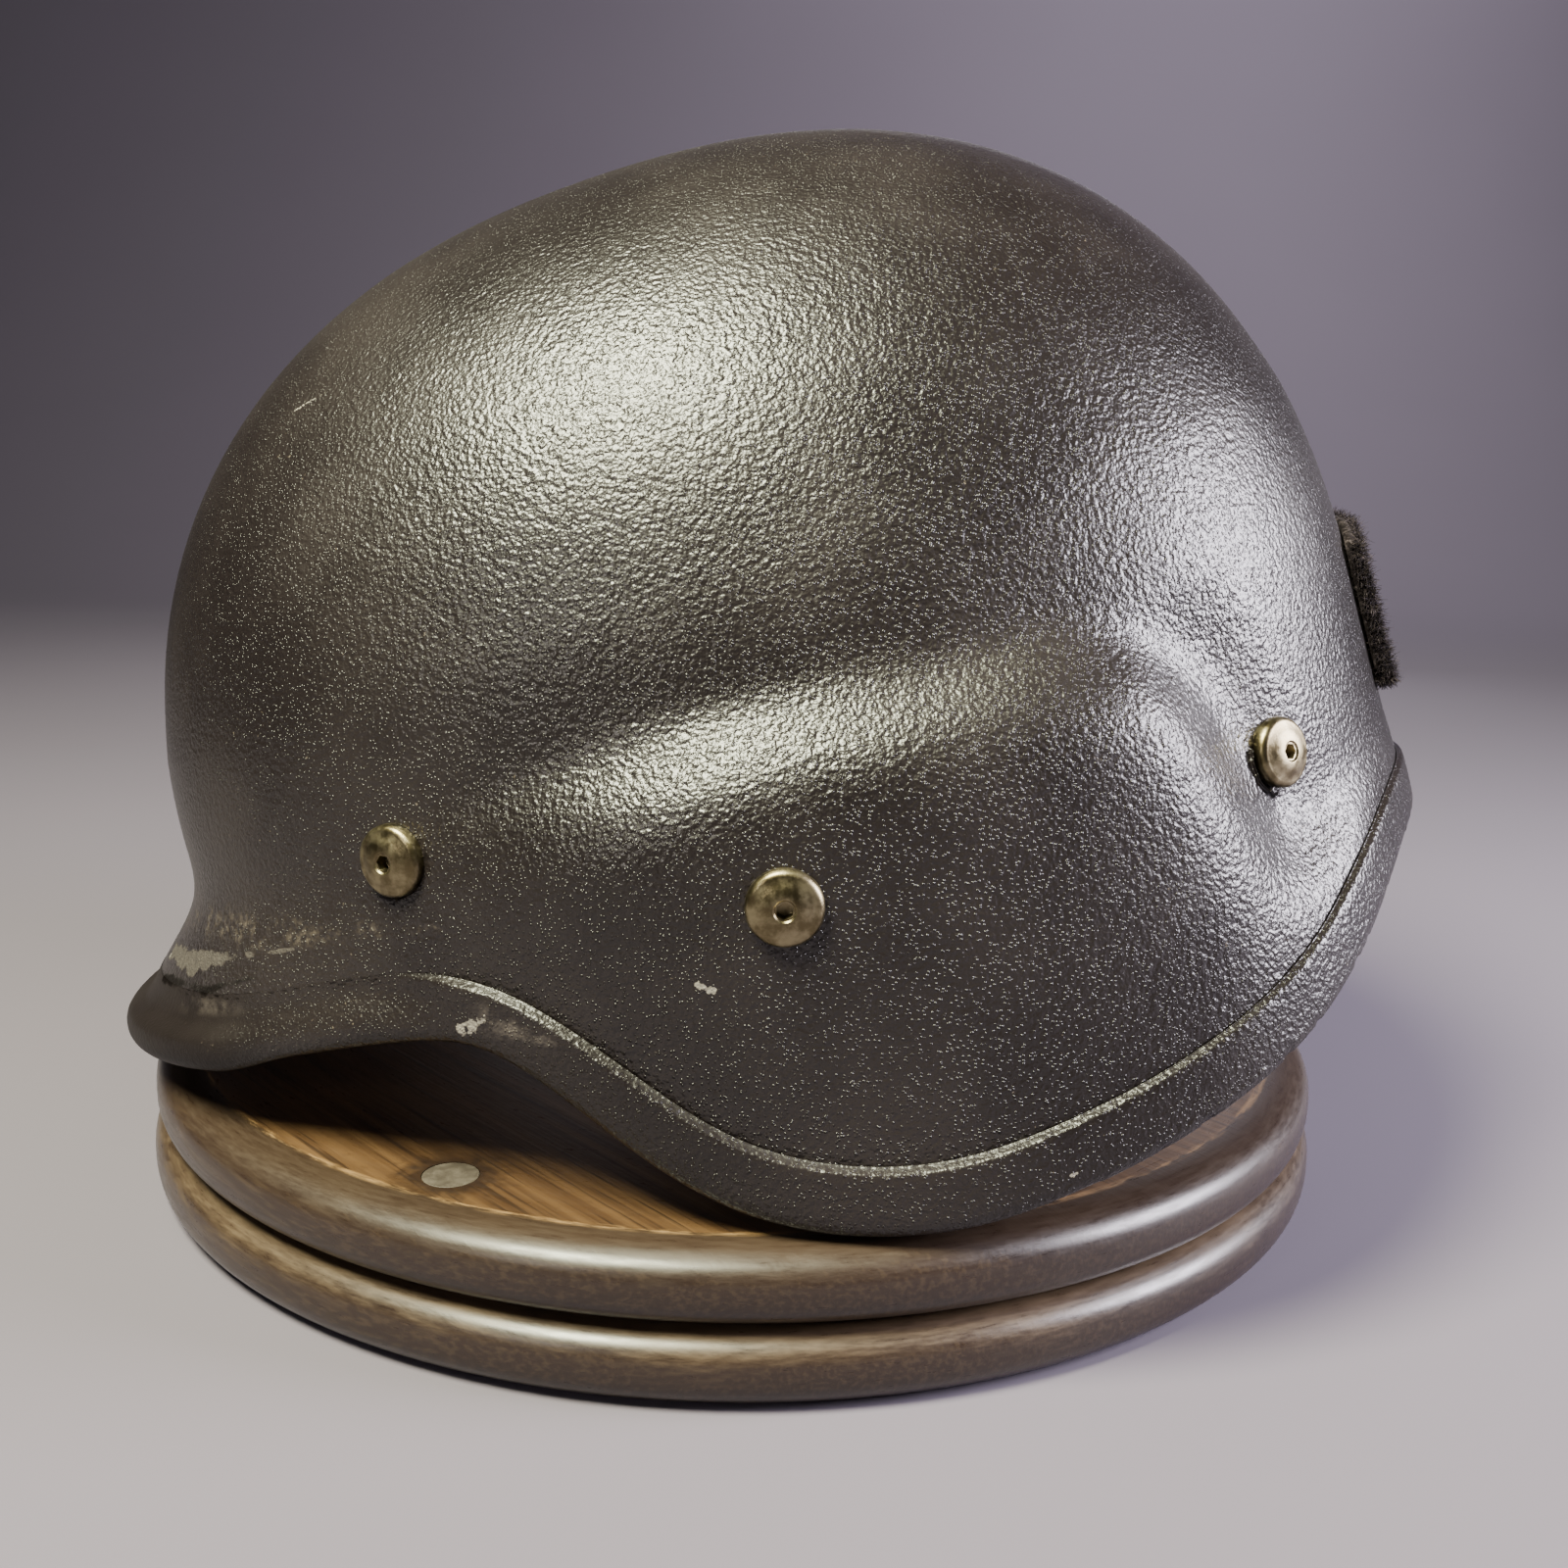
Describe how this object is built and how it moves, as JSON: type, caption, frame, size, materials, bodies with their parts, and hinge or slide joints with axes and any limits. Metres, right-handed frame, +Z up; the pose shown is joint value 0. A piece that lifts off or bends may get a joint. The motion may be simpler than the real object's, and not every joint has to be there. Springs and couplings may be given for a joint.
{
  "type": "ballistic helmet on a round wooden stand",
  "caption": "Hollow combat-style ballistic helmet with flared visor, ear bulges, rubber edge trim, wall screws and a rear pile patch, resting on a stacked round wooden stand.",
  "frame": {"origin": "centre of the stand's underside, where it rests", "axes": "+Z up; -X the way the helmet's brow faces; -Y the wearer's left side"},
  "size_m": [0.2788, 0.2604, 0.2184],
  "materials": {
    "textured_paint": "black pebble-textured paint over moulded aramid laminate, satin",
    "edge_rubber": "black rubber channel, lightly pebbled, scuffed",
    "pile_patch": "black looped pile with stray fibres",
    "dark_bronze": "dark bronze-toned coated steel, worn to a gloss",
    "plain_steel": "plain steel",
    "stained_wood": "dark stained hardwood, semi-gloss edge, worn shoulders",
    "filler_plug": "grey-brown filled plug, smooth"
  },
  "bodies": {
    "root": {"shell": "textured_paint", "edge_trim": "edge_rubber", "rear_patch": "pile_patch", "screw_front_left": "dark_bronze", "screw_front_right": "dark_bronze", "screw_side_left": "dark_bronze", "screw_side_right": "dark_bronze", "screw_rear_left": "dark_bronze", "screw_rear_right": "dark_bronze", "nut_front_left": "plain_steel", "nut_front_right": "plain_steel", "nut_side_left": "plain_steel", "nut_side_right": "plain_steel", "nut_rear_left": "plain_steel", "nut_rear_right": "plain_steel", "stand_lower_disc": "stained_wood", "stand_upper_disc": "stained_wood", "stand_plug": "filler_plug"}
  },
  "joints": []
}
